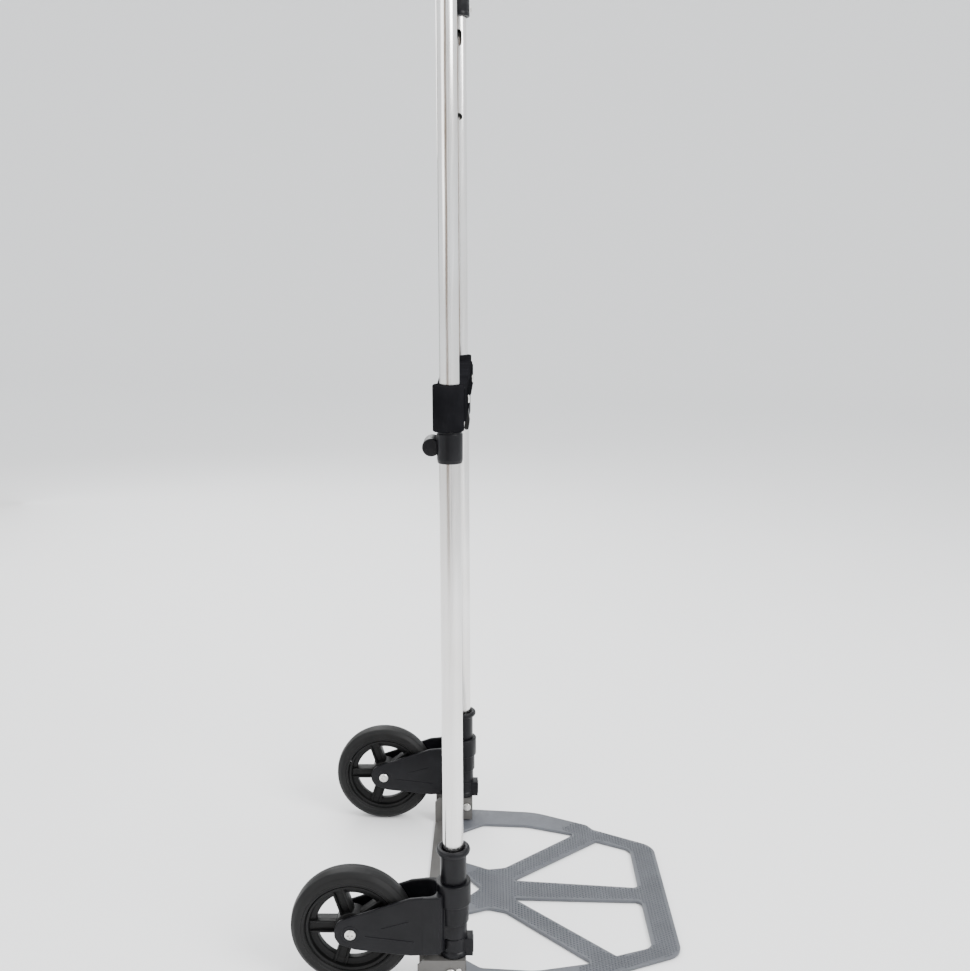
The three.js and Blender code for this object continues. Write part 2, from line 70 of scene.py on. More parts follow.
HANDLE_BOTTOM, GRIP_Z, GRIP_R, INNER_FOOT = 998.0, 1027.0, 14.98, 480.0
BAR_R, BAR_BORE, BAR_HALF, ELBOW_R, ELBOW_BEND, ELBOW_REACH = 9.0, 7.8, 147.0, 13.2, 26.0, 44.0
TRAVEL = JOINTS["handle_slide"]["range_m"][1] * 1000
BRIDGE_FRONT, BRIDGE_BACK, BRIDGE_X = -15.0, 14.0, 150.0
BRIDGE_FLOOR, BRIDGE_ROOF, WALL = 572.0, 604.0, 2.2
TRIGGER_Y, TRIGGER_PIVOT_Z, TRIGGER_HALF, TRIGGER_TIP_Z = -9.2, 590.0, 11.0, 544.0
SIDES = {"left": -1, "right": 1}


# ---- materials ----
def node_material(name, color, roughness, metallic=0.0):
    material = bpy.data.materials.new(name)
    material.use_nodes = True
    shader = material.node_tree.nodes["Principled BSDF"]
    shader.inputs["Base Color"].default_value = (*color, 1)
    shader.inputs["Roughness"].default_value = roughness
    shader.inputs["Metallic"].default_value = metallic
    return material, shader


def noise(material, scale, detail=3.0, stretch=(1, 1, 1)):
    """A noise texture in object coordinates, stretched along an axis where the real surface is drawn."""
    nodes, links = material.node_tree.nodes, material.node_tree.links
    coords = nodes.new("ShaderNodeTexCoord")
    mapping = nodes.new("ShaderNodeMapping")
    mapping.inputs["Scale"].default_value = stretch
    texture = nodes.new("ShaderNodeTexNoise")
    texture.inputs["Scale"].default_value = scale
    texture.inputs["Detail"].default_value = detail
    links.new(coords.outputs["Object"], mapping.inputs["Vector"])
    links.new(mapping.outputs["Vector"], texture.inputs["Vector"])
    return texture.outputs["Fac"]


def vary(material, socket, source, low, high, stops=(0.3, 0.7)):
    """Drives a shader input with a ramp between two colours or two grey values."""
    nodes, links = material.node_tree.nodes, material.node_tree.links
    ramp = nodes.new("ShaderNodeValToRGB")
    for element, stop, value in zip(ramp.color_ramp.elements, stops, (low, high)):
        element.position = stop
        element.color = (*value, 1) if isinstance(value, tuple) else (value, value, value, 1)
    links.new(source, ramp.inputs["Fac"])
    links.new(ramp.outputs["Color"], socket)


def bump(material, shader, source, strength, distance):
    nodes, links = material.node_tree.nodes, material.node_tree.links
    node = nodes.new("ShaderNodeBump")
    node.inputs["Strength"].default_value = strength
    node.inputs["Distance"].default_value = distance
    links.new(source, node.inputs["Height"])
    links.new(node.outputs["Normal"], shader.inputs["Normal"])


def moulded(name, color, roughness, grain=900.0, depth=0.00012, gloss=0.18):
    """Moulded plastic or rubber: a fine spark-eroded grain and slightly uneven colour and gloss."""
    material, shader = node_material(name, color, roughness)
    cloud = noise(material, 38.0, 4.0)
    lighter = tuple(c * 1.5 + 0.002 for c in color)
    vary(material, shader.inputs["Base Color"], cloud, color, lighter)
    vary(material, shader.inputs["Roughness"], cloud, roughness - 0.06, roughness + 0.07)
    bump(material, shader, noise(material, grain, 2.0), 0.35, depth)
    shader.inputs["Specular IOR Level"].default_value = gloss
    return material


def bright_aluminium():
    """Drawn tube: lengthwise streaks in gloss and a faint warm and cool variation."""
    material, shader = node_material("bright_tube", (0.82, 0.81, 0.79), 0.2, 1.0)
    streaks = noise(material, 420.0, 3.0, (1, 1, 0.012))
    vary(material, shader.inputs["Roughness"], streaks, 0.15, 0.3, (0.35, 0.7))
    cloud = noise(material, 9.0, 2.0)
    vary(material, shader.inputs["Base Color"], cloud, (0.74, 0.72, 0.70), (0.87, 0.87, 0.87))
    bump(material, shader, streaks, 0.12, 0.00005)
    return material


def painted_casting(name, color, roughness=0.42, metallic=0.35):
    """Satin paint on a casting: fine orange peel, cloudy tone and rubbed lighter specks."""
    material, shader = node_material(name, color, roughness, metallic)
    cloud = noise(material, 26.0, 5.0)
    lighter = tuple(c * 1.28 for c in color)
    vary(material, shader.inputs["Base Color"], cloud, color, lighter, (0.32, 0.72))
    rub = noise(material, 120.0, 4.0)
    vary(material, shader.inputs["Roughness"], rub, roughness - 0.09, roughness + 0.1)
    bump(material, shader, noise(material, 700.0, 3.0), 0.3, 0.00015)
    return material


def zinc_steel():
    material, shader = node_material("steel", (0.66, 0.65, 0.62), 0.3, 1.0)
    vary(material, shader.inputs["Roughness"], noise(material, 300.0, 3.0), 0.22, 0.42)
    cloud = noise(material, 60.0, 2.0)
    vary(material, shader.inputs["Base Color"], cloud, (0.58, 0.57, 0.55), (0.72, 0.71, 0.68))
    return material


FINISH = {
    "bright_tube": bright_aluminium(),
    "plate_casting": painted_casting("plate_casting", (0.082, 0.087, 0.098), 0.42, 0.2),
    "grey_paint": painted_casting("grey_paint", (0.085, 0.082, 0.078), 0.42, 0.2),
    "steel": zinc_steel(),
    "black_plastic": moulded("black_plastic", (0.003, 0.003, 0.004), 0.36),
    "lock_plastic": moulded("lock_plastic", (0.006, 0.006, 0.007), 0.5, gloss=0.0),
    "rim_plastic": moulded("rim_plastic", (0.003, 0.003, 0.003), 0.45),
    "tyre_rubber": moulded("tyre_rubber", (0.005, 0.005, 0.005), 0.5, 500.0, 0.0002),
    "grip_foam": moulded("grip_foam", (0.008, 0.008, 0.008), 0.7, 1500.0, 0.0003),
}


# ---- mesh helpers ----
def rounded(corners, steps=8):
    """Corners as (u, v) or (u, v, radius) become a closed outline with arcs at the rounded corners."""
    points = []
    for i, corner in enumerate(corners):
        here = Vector(corner[:2])
        radius = corner[2] if len(corner) > 2 else 0
        if not radius:
            points.append(here)
            continue
        back = (Vector(corners[i - 1][:2]) - here).normalized()
        ahead = (Vector(corners[(i + 1) % len(corners)][:2]) - here).normalized()
        half = math.acos(max(-1, min(1, back.dot(ahead)))) / 2
        centre = here + (back + ahead).normalized() * radius / math.sin(half)
        start = here + back * radius / math.tan(half) - centre
        end = here + ahead * radius / math.tan(half) - centre
        first = math.atan2(start.y, start.x)
        sweep = (math.atan2(end.y, end.x) - first + math.pi) % (2 * math.pi) - math.pi
        for k in range(steps + 1):
            angle = first + sweep * k / steps
            points.append(centre + radius * Vector((math.cos(angle), math.sin(angle))))
    return points


AXES = {
    "x": Matrix(((0, 0, 1, 0), (1, 0, 0, 0), (0, 1, 0, 0), (0, 0, 0, 1))),
    "y": Matrix(((1, 0, 0, 0), (0, 0, -1, 0), (0, 1, 0, 0), (0, 0, 0, 1))),
    "z": Matrix.Identity(4),
}


class Piece:
    """One visible piece: one or more closed shells that overlap as a moulding's ribs and bosses do."""

    def __init__(self):
        self.mesh = bmesh.new()

    def add(self, mesh, matrix):
        mesh.transform(matrix)
        self.mesh.from_mesh(mesh)
        bpy.data.meshes.remove(mesh)
        return self

    def turned(self, profile, axis="z", at=(0, 0, 0), segments=72):
        """A closed profile of (radius, height[, corner radius]) turned about a line along x, y or z."""
        rounds = rounded(profile, 5)
        shell = bmesh.new()
        rings = []
        for point in rounds:
            rings.append([
                shell.verts.new((
                    max(0, point.x) * math.cos(2 * math.pi * k / segments),
                    max(0, point.x) * math.sin(2 * math.pi * k / segments),
                    point.y,
                ))
                for k in range(segments)
            ])
        for ring, following in zip(rings, rings[1:] + rings[:1]):
            for k in range(segments):
                m = (k + 1) % segments
                shell.faces.new((ring[k], ring[m], following[m], following[k]))
        bmesh.ops.remove_doubles(shell, verts=shell.verts, dist=1e-4)
        bmesh.ops.dissolve_degenerate(shell, edges=shell.edges, dist=1e-5)
        bmesh.ops.recalc_face_normals(shell, faces=shell.faces)
        mesh = bpy.data.meshes.new("turned")
        shell.to_mesh(mesh)
        shell.free()
        turn = Matrix.Rotation(math.pi / 2, 4, "Y") if axis == "x" else Matrix.Identity(4)
        if axis == "y":
            turn = Matrix.Rotation(-math.pi / 2, 4, "X")
        return self.add(mesh, Matrix.Translation(at) @ turn)

    def slab(self, outline, low, high, axis="z", holes=(), edge=0.8, matrix=None):
        """An outline raised from low to high along an axis, with rounded edges. Along x the outline is
        (y, z), along y it is (x, z), and along z it is (x, y)."""
        curve = bpy.data.curves.new("slab", "CURVE")
        curve.dimensions = "2D"
        curve.fill_mode = "BOTH"
        curve.extrude = (high - low) / 2 - edge
        curve.bevel_depth = edge
        curve.bevel_resolution = 2
        curve.offset = -edge
        for loop in (outline, *holes):
            spline = curve.splines.new("POLY")
            spline.points.add(len(loop) - 1)
            for point, place in zip(spline.points, loop):
                point.co = (*place, 0, 1)
            spline.use_cyclic_u = True
        holder = bpy.data.objects.new("slab", curve)
        bpy.context.scene.collection.objects.link(holder)
        graph = bpy.context.evaluated_depsgraph_get()
        mesh = bpy.data.meshes.new_from_object(holder.evaluated_get(graph))
        bpy.data.objects.remove(holder)
        bpy.data.curves.remove(curve)
        shell = bmesh.new()
        shell.from_mesh(mesh)
        bmesh.ops.remove_doubles(shell, verts=shell.verts, dist=1e-4)
        bmesh.ops.recalc_face_normals(shell, faces=shell.faces)
        shell.to_mesh(mesh)
        shell.free()
        middle = (low + high) / 2
        turn = AXES[axis] @ Matrix.Translation((0, 0, -middle if axis == "y" else middle))
        return self.add(mesh, (matrix or Matrix.Identity(4)) @ turn)

    def block(self, x0, x1, y0, y1, z0, z1, edge=0.8):
        corners = [Vector(p) for p in ((x0, y0), (x1, y0), (x1, y1), (x0, y1))]
        return self.slab(corners, z0, z1, "z", edge=edge)

    def made(self, name, body, nodes, slot, matrix=LEANING, cutters=(), sharp=32, finish=None):
        mesh = bpy.data.meshes.new(name)
        bmesh.ops.recalc_face_normals(self.mesh, faces=self.mesh.faces)
        self.mesh.to_mesh(mesh)
        self.mesh.free()
        mesh.transform(matrix)
        piece = bpy.data.objects.new(name, mesh)
        bpy.context.scene.collection.objects.link(piece)
        for cutter in cutters:
            carve(piece, cutter, matrix)
        piece.data.materials.clear()
        piece.data.materials.append(FINISH[finish or slot])
        piece.data.shade_smooth()
        piece.data.set_sharp_from_angle(angle=math.radians(sharp))
        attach(piece, body)
        if nodes:
            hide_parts(*nodes)
        return piece


def carve(piece, cutter, matrix):
    """Cuts another piece's shape out of this one, and leaves plain geometry."""
    mesh = bpy.data.meshes.new("cutter")
    cutter.mesh.to_mesh(mesh)
    cutter.mesh.free()
    mesh.transform(matrix)
    tool = bpy.data.objects.new("cutter", mesh)
    bpy.context.scene.collection.objects.link(tool)
    modifier = piece.modifiers.new("cut", "BOOLEAN")
    modifier.operation = "DIFFERENCE"
    modifier.solver = "EXACT"
    modifier.use_self = True
    modifier.object = tool
    graph = bpy.context.evaluated_depsgraph_get()
    result = bpy.data.meshes.new_from_object(piece.evaluated_get(graph))
    piece.modifiers.clear()
    piece.data = result
    bpy.data.objects.remove(tool)


def tube_profile(inner, outer, low, high, lip=0.35):
    return [(inner, low, lip), (outer, low, lip), (outer, high, lip), (inner, high, lip)]


def pin_profile(radius, low, high, edge=0.4):
    return [(0, low), (radius, low, edge), (radius, high, edge), (0, high)]


def screw_head(piece, radius, height, axis, at, outward):
    """A domed pan head on a face: outward is +1 or -1 along the axis."""
    dome = [
        (0, 0), (radius, 0), (radius * 0.98, height * 0.45, 0.3), (radius * 0.76, height * 0.86, 0.8),
        (radius * 0.4, height), (0, height),
    ]
    return piece.turned([(r, outward * h, *rest) for r, h, *rest in dome], axis, at, 40)


def cross_recess(radius, depth, axis, at, outward):
    """A cross-shaped driver recess to cut from a screw head whose top is at the given point."""
    tool = Piece()
    x, y, z = at
    w, reach = radius * 0.16, radius * 0.56
    near, far = -outward * depth, outward * 1.0
    low, high = min(near, far), max(near, far)
    for wide, tall in ((reach, w), (w, reach)):
        if axis == "x":
            tool.block(x + low, x + high, y - wide, y + wide, z - tall, z + tall, 0.05)
        else:
            tool.block(x - wide, x + wide, y + low, y + high, z - tall, z + tall, 0.05)
    return tool


# ---- base and toe plate ----
def base():
    node = frame["nodes"]["base_frame"]
    node.data.materials.clear()
    node.data.materials.append(FINISH["grey_paint"])
    softened = node.modifiers.new("edges", "BEVEL")
    softened.width = 0.0006
    softened.segments = 2
    softened.limit_method = "ANGLE"
    softened.harden_normals = True
    for name, side in SIDES.items():
        hinge = (0, *hinge_place())
        inner = side * (EAR_IN - GAP - 2)
        shank = sorted((inner, side * (EAR_OUT + 0.5)))
        head = sorted((inner - side * 0.5, side * (EAR_IN - GAP)))
        pin = Piece().turned(pin_profile(PIN_R, *shank, 0.5), "x", hinge, 40)
        pin.turned(pin_profile(LUG_R, *head, 0.6), "x", hinge, 40)
        pin.made(f"{name}_plate_pivot", "frame", [f"{name}_hinge_pin"], "steel")
        at = (side * (EAR_OUT + GAP), 3, 17)
        rivet = screw_head(Piece(), 5.2, 3, "x", at, side)
        rivet.made(f"{name}_ear_rivet", "frame", [f"{name}_foot_rivet"], "steel")


def hinge_place():
    """The hinge line's (y, z) in the leaning frame."""
    above = HINGE_Z - FRAME_AT.z * 1000
    return (
        -HINGE_FORWARD * math.cos(LEAN) - above * math.sin(LEAN),
        above * math.cos(LEAN) - HINGE_FORWARD * math.sin(LEAN),
    )


PLATE_OUTLINE = [
    (PLATE_HALF, PLATE_REAR, 2), (PLATE_HALF - 1.5, 96, 70), (159, 163, 8), (148, 170, 8),
    (111.8, PLATE_REACH, 24),
]
SIDE_WINDOW = [
    (129.8, 0, 3), (151, 27, 10), (152, 84, 60), (134.6, 146, 4), (45.5, 54, 14), (40.5, 34, 10),
    (56.7, 0, 3),
]
FRONT_WINDOW = [(18.5, 62.5, 2), (13.6, 212.4, 7), (102.5, 213, 14), (120.5, 172, 2)]
REAR_WINDOW = [(34.7, 0, 3), (0, 25.5, 2), (-34.7, 0, 3)]


def mirrored(corners):
    return [(-u, *rest) for u, *rest in corners]


def forward(corners, steps=10):
    """Corners given as distances in front of the tubes, which is -y, with arcs filled in."""
    return [Vector((p.x, -p.y)) for p in rounded(corners, steps)]


def inside(point, loop):
    crossings = 0
    for a, b in zip(loop, loop[1:] + loop[:1]):
        if (a.y > point.y) != (b.y > point.y):
            crossings += point.x < a.x + (point.y - a.y) / (b.y - a.y) * (b.x - a.x)
    return crossings % 2 == 1


def clearance(point, loop):
    nearest = 1e9
    for a, b in zip(loop, loop[1:] + loop[:1]):
        along = b - a
        t = max(0, min(1, (point - a).dot(along) / max(along.length_squared, 1e-9)))
        nearest = min(nearest, (point - a - along * t).length)
    return nearest


def toe_plate():
    outline = forward([*PLATE_OUTLINE, *reversed(mirrored(PLATE_OUTLINE))])
    windows = [
        forward(corners) for corners in
        (SIDE_WINDOW, mirrored(SIDE_WINDOW), FRONT_WINDOW, mirrored(FRONT_WINDOW), REAR_WINDOW)
    ]
    plate = Piece().slab(outline, 0, PLATE_T, "z", windows, 0.9)
    for side in (-1, 1):
        x0, x1 = sorted(side * x for x in LUG_X)
        hinge_y, low, high = -HINGE_FORWARD, PLATE_T - 1.5, HINGE_Z - 3.4
        plate.turned(tube_profile(PIN_R + GAP, LUG_R, x0, x1, 0.5), "x", (0, hinge_y, HINGE_Z), 48)
        for wall in (x0, x1 - 4):
            plate.block(wall, wall + 4, hinge_y - LUG_R, hinge_y + LUG_R, low, high, 0.6)
    add_dimples(plate, outline, windows)
    plate.made("toe_plate_casting", "toe", ["toe_plate"], "plate_casting", FLAT, sharp=40)


def add_dimples(plate, outline, windows):
    """Staggered raised dimples all over the plate's top, but not on the smooth side rims."""
    pitch, radius, height, margin = 4.0, 1.35, 1.15, 2.6
    row_step = pitch * math.sqrt(3) / 2
    rows = int(PLATE_REACH / row_step)
    for row in range(3, rows):
        y = -row * row_step
        for column in range(-52, 53):
            x = (column + 0.5 * (row % 2)) * pitch
            spot = Vector((x, y))
            spoke_edge = 73 + (-y - 54) * 0.968
            smooth_rim = -y < 165 and abs(x) > spoke_edge or abs(x) > 60 and -y < 40
            if smooth_rim or not inside(spot, outline) or any(inside(spot, w) for w in windows):
                continue
            if clearance(spot, outline) < margin or any(clearance(spot, w) < margin for w in windows):
                continue
            dome(plate.mesh, x, y, PLATE_T - 0.05, radius, height)


def dome(mesh, x, y, z, radius, height, sides=8):
    """A low dome in two steps, closed underneath."""
    rings = []
    for r, h in ((radius, 0), (radius * 0.86, height * 0.6), (radius * 0.45, height)):
        ring = []
        for k in range(sides):
            angle = 2 * math.pi * k / sides
            ring.append(mesh.verts.new((x + r * math.cos(angle), y + r * math.sin(angle), z + h)))
        rings.append(ring)
    for low, high in zip(rings, rings[1:]):
        for k in range(sides):
            m = (k + 1) % sides
            mesh.faces.new((low[k], low[m], high[m], high[k]))
    mesh.faces.new(rings[-1])
    mesh.faces.new(reversed(rings[0]))


# ---- tube feet, forks and wheels ----
def tube_foot(name, side):
    x = side * TUBE_X
    foot = Piece().turned([
        (OUTER_R + GAP, EAR_TOP + 4, 0.2), (OUTER_R + GAP, FOOT_TOP, 0.3), (13.3, FOOT_TOP, 0.8),
        (13.3, EAR_TOP + 7, 1.5), (14.6, EAR_TOP + 5.6, 0.6), (14.6, EAR_TOP + GAP, 0.6),
        (0, EAR_TOP + GAP), (0, EAR_TOP + 4),
    ], "z", (x, 0, 0))
    foot.block(x - 8, x + 8, -19.5, -10.6, EAR_TOP + GAP, FOOT_TOP - 1, 1.2)
    foot.block(x - 5, x + 5, -20, -18.9, EAR_TOP + 3, FOOT_TOP - 4, 0.4)
    foot.made(f"{name}_tube_foot", "frame", [f"{name}_foot"], "black_plastic")
    lip = COLLAR_TOP - 3.4
    collar = Piece().turned([
        (OUTER_R + GAP, RING_TOP + GAP, 0.3), (13.2, RING_TOP + GAP, 0.8), (13.2, lip - 3.6, 1.5),
        (16.2, lip - 2.9, 1.2), (17.2, lip - 0.2, 1.6), (16.4, COLLAR_TOP - 0.8, 1.6),
        (13.8, COLLAR_TOP, 1.6), (11.6, COLLAR_TOP - 1.2, 1.2), (10.9, lip, 1),
        (OUTER_R + GAP, lip - 2.6, 0.3),
    ], "z", (x, 0, 0), 96)
    collar.made(f"{name}_flared_collar", "frame", [f"{name}_collar"], "black_plastic")
    wall_at = (side * (TUBE_X - OUTER_R), 0, LOCK_PIN_Z)
    hole = Piece().turned(pin_profile(LOCK_HOLE_R, -6, 6), "x", wall_at, 32)
    section = tube_profile(OUTER_BORE, OUTER_R, EAR_TOP + 4 + GAP, LOCK_TOP - 4)
    tube = Piece().turned(section, "z", (x, 0, 0), 96)
    tube.made(f"{name}_lower_tube", "frame", [f"{name}_outer_tube"], "bright_tube", cutters=[hole])


FORK_PROFILE = [
    (AXLE_BACK + 16.2, WHEEL_R + 5, 6), (AXLE_BACK + 12, WHEEL_R + 13, 8), (AXLE_BACK + 2, WHEEL_R + 17, 8),
    (43, FORK_TOP - 1.3, 8), (30, FORK_TOP), (12, FORK_TOP, 1),
    (12, FORK_FLOOR + 1.5, 3), (43, FORK_FLOOR, 8), (AXLE_BACK - 4, WHEEL_R - 17.5, 10),
    (AXLE_BACK + 12, WHEEL_R - 11.5, 8), (AXLE_BACK + 16.2, WHEEL_R - 4, 6),
]
ARM_RIDGES = (
    [(88, 59.4), (39, 53.2), (39, 54.6), (88, 60.4)],
    [(72, 67.8), (44, 75.4), (44.4, 76.8), (72, 68.8)],
)
FORK_RINGS = ((17.5, 88, RING_TOP), (15.4, 67.5, 88.4), (13.6, FOOT_TOP + GAP, 68))


def wheel_fork(name, side):
    x = side * TUBE_X
    profile = rounded(FORK_PROFILE)
    face = FORK_OUTER - 0.5
    fork = Piece()
    for way in (-1, 1):
        low, high = sorted((x + way * FORK_INNER, x + way * face))
        fork.slab(profile, low, high, "x", edge=1.5)
        low, high = sorted((x + way * (face - 1), x + way * FORK_OUTER))
        for ridge in ARM_RIDGES:
            fork.slab([Vector(p) for p in ridge], low, high, "x", edge=0.2)
        sunk, proud = x + way * (FORK_INNER + 0.5), x + way * FORK_OUTER
        boss = [(4.3, sunk), (8.8, sunk), (8.8, proud, 0.5), (4.3, proud, 0.2)]
        fork.turned(boss, "x", (0, AXLE_BACK, WHEEL_R), 48)
    yoke = [
        (x - FORK_OUTER, 30), (x - FORK_OUTER, 8, 12), (x + FORK_OUTER, 8, 12), (x + FORK_OUTER, 30),
        (x + FORK_INNER, 30), (x + FORK_INNER, 17, 9), (x - FORK_INNER, 17, 9), (x - FORK_INNER, 30),
    ]
    fork.slab(rounded(yoke), FORK_FLOOR + 1.5, FORK_TOP, "z", edge=1.2)
    clear = OUTER_R + GAP
    for radius, low, high in FORK_RINGS:
        section = [(clear, low, 0.3), (radius, low, 1.2), (radius, high, 1.2), (clear, high, 0.3)]
        fork.turned(section, "z", (x, 0, 0))
    for way in (-1, 1):
        fork.block(x + way * 11.3 - 1.7, x + way * 11.3 + 1.7, 3, 12, FOOT_TOP + 2, FORK_TOP - 3, 0.6)
    body = f"{name}_wheel_fork"
    bore = Piece().turned(pin_profile(clear + 0.05, FORK_FLOOR - 5, RING_TOP + 5), "z", (x, 0, 0))
    fork.made(f"{name}_wheel_fork", body, [f"{name}_fork"], "black_plastic", cutters=[bore])

    out = side * (FORK_OUTER + GAP)
    bolt = screw_head(Piece(), AXLE_HEAD_R, AXLE_HEAD_H, "x", (x + out, AXLE_BACK, WHEEL_R), side)
    shank = sorted((-side * 21, out + side * 0.4))
    bolt.turned(pin_profile(AXLE_R, *shank), "x", (x, AXLE_BACK, WHEEL_R), 40)
    top = (x + out + side * AXLE_HEAD_H, AXLE_BACK, WHEEL_R)
    recess = cross_recess(AXLE_HEAD_R, 1.4, "x", top, side)
    bolt.made(f"{name}_axle_screw", body, [f"{name}_axle_bolt"], "steel", cutters=[recess])
    inner = side * (TUBE_X - FORK_OUTER - GAP)
    nut = screw_head(Piece(), NUT_R, NUT_H, "x", (inner, AXLE_BACK, WHEEL_R), -side)
    recess = cross_recess(AXLE_HEAD_R, 1.0, "x", (inner - side * NUT_H, AXLE_BACK, WHEEL_R), -side)
    nut.made(f"{name}_crown_nut", body, [f"{name}_axle_nut"], "steel", cutters=[recess])


def wheel(name, side):
    centre = (side * TUBE_X, AXLE_BACK, WHEEL_R)
    body = f"{name}_wheel"
    half = TYRE_HALF
    tyre = Piece().turned([
        (RIM_R, -half + 3, 0.6), (RIM_R + 1.2, -half + 1, 0.8),
        (RIM_R + 3.2, -half + 1.1, 0.5), (RIM_R + 4.2, -half, 1.2),
        (WHEEL_R - 5.5, -half + 0.5, 4), (WHEEL_R - 0.9, -half + 4.6, 4), (WHEEL_R, -1.2), (WHEEL_R, 1.2),
        (WHEEL_R - 0.9, half - 4.6, 4), (WHEEL_R - 5.5, half - 0.5, 4), (RIM_R + 4.2, half, 1.2),
        (RIM_R + 3.2, half - 1.1, 0.5), (RIM_R + 1.2, half - 1, 0.8), (RIM_R, half - 3, 0.6),
    ], "x", centre, 144)
    tyre.made(f"{name}_rubber_tyre", body, [f"{name}_tyre"], "tyre_rubber", sharp=50)

    rim = Piece().turned([
        (RIM_R - 3.6, -half + 3.4, 1), (RIM_R - 0.4, -half + 2.6, 0.8), (RIM_R - 0.4, half - 2.6, 0.8),
        (RIM_R - 3.6, half - 3.4, 1), (RIM_R - 4.4, 4.6, 1.5), (RIM_BORE, 4, 1.2), (RIM_BORE, -4, 1.2),
        (RIM_R - 4.4, -4.6, 1.5),
    ], "x", centre, 128)
    rim.turned([
        (HUB_BORE, -HUB_HALF, 0.4), (11, -HUB_HALF, 0.6), (12, -10.5, 0.6), (HUB_R, -9.5, 1.2),
        (HUB_R, 9.5, 1.2), (12, 10.5, 0.6), (11, HUB_HALF, 0.6), (HUB_BORE, HUB_HALF, 0.4),
    ], "x", centre, 64)
    at = Matrix.Translation(centre)
    for k in range(SPOKES):
        turn = at @ Matrix.Rotation(2 * math.pi * k / SPOKES - math.pi / 2, 4, "X")
        blade = rounded([(-7.4, 12), (-6.6, 24, 8), (-6.8, 43), (6.8, 43), (6.6, 24, 8), (7.4, 12)])
        rim.slab(blade, -4, 4, "x", edge=0.9, matrix=turn)
        for edge in (-1, 1):
            far, near = edge * 6.6, edge * 4.4
            flange = [Vector(p) for p in ((far, 14), (near, 14), (near, 43), (far, 43))]
            rim.slab(flange, -7, 7, "x", edge=0.6, matrix=turn)
    rim.made(f"{name}_spoked_rim", body, [f"{name}_wheel_rim"], "rim_plastic")
    section = tube_profile(AXLE_HOLE_R, HUB_BORE - GAP, -HUB_HALF, HUB_HALF)
    bush = Piece().turned(section, "x", centre, 48)
    bush.made(f"{name}_axle_bush", body, [f"{name}_wheel_bush"], "steel")


# ---- lock housing ----
COVER_RIBS = (32, 50, 68, 86, 114, 132, 146)


def bridge_outline(less=0.0):
    return rounded([
        (-BRIDGE_X + less, BRIDGE_ROOF - less, 2), (-BRIDGE_X + less, BRIDGE_FLOOR + less, 2),
        (-52, BRIDGE_FLOOR + 4 + less, 30), (52, BRIDGE_FLOOR + 4 + less, 30),
        (BRIDGE_X - less, BRIDGE_FLOOR + less, 2), (BRIDGE_X - less, BRIDGE_ROOF - less, 2),
        (60, BRIDGE_ROOF + 5 - less, 40), (-60, BRIDGE_ROOF + 5 - less, 40),
    ])


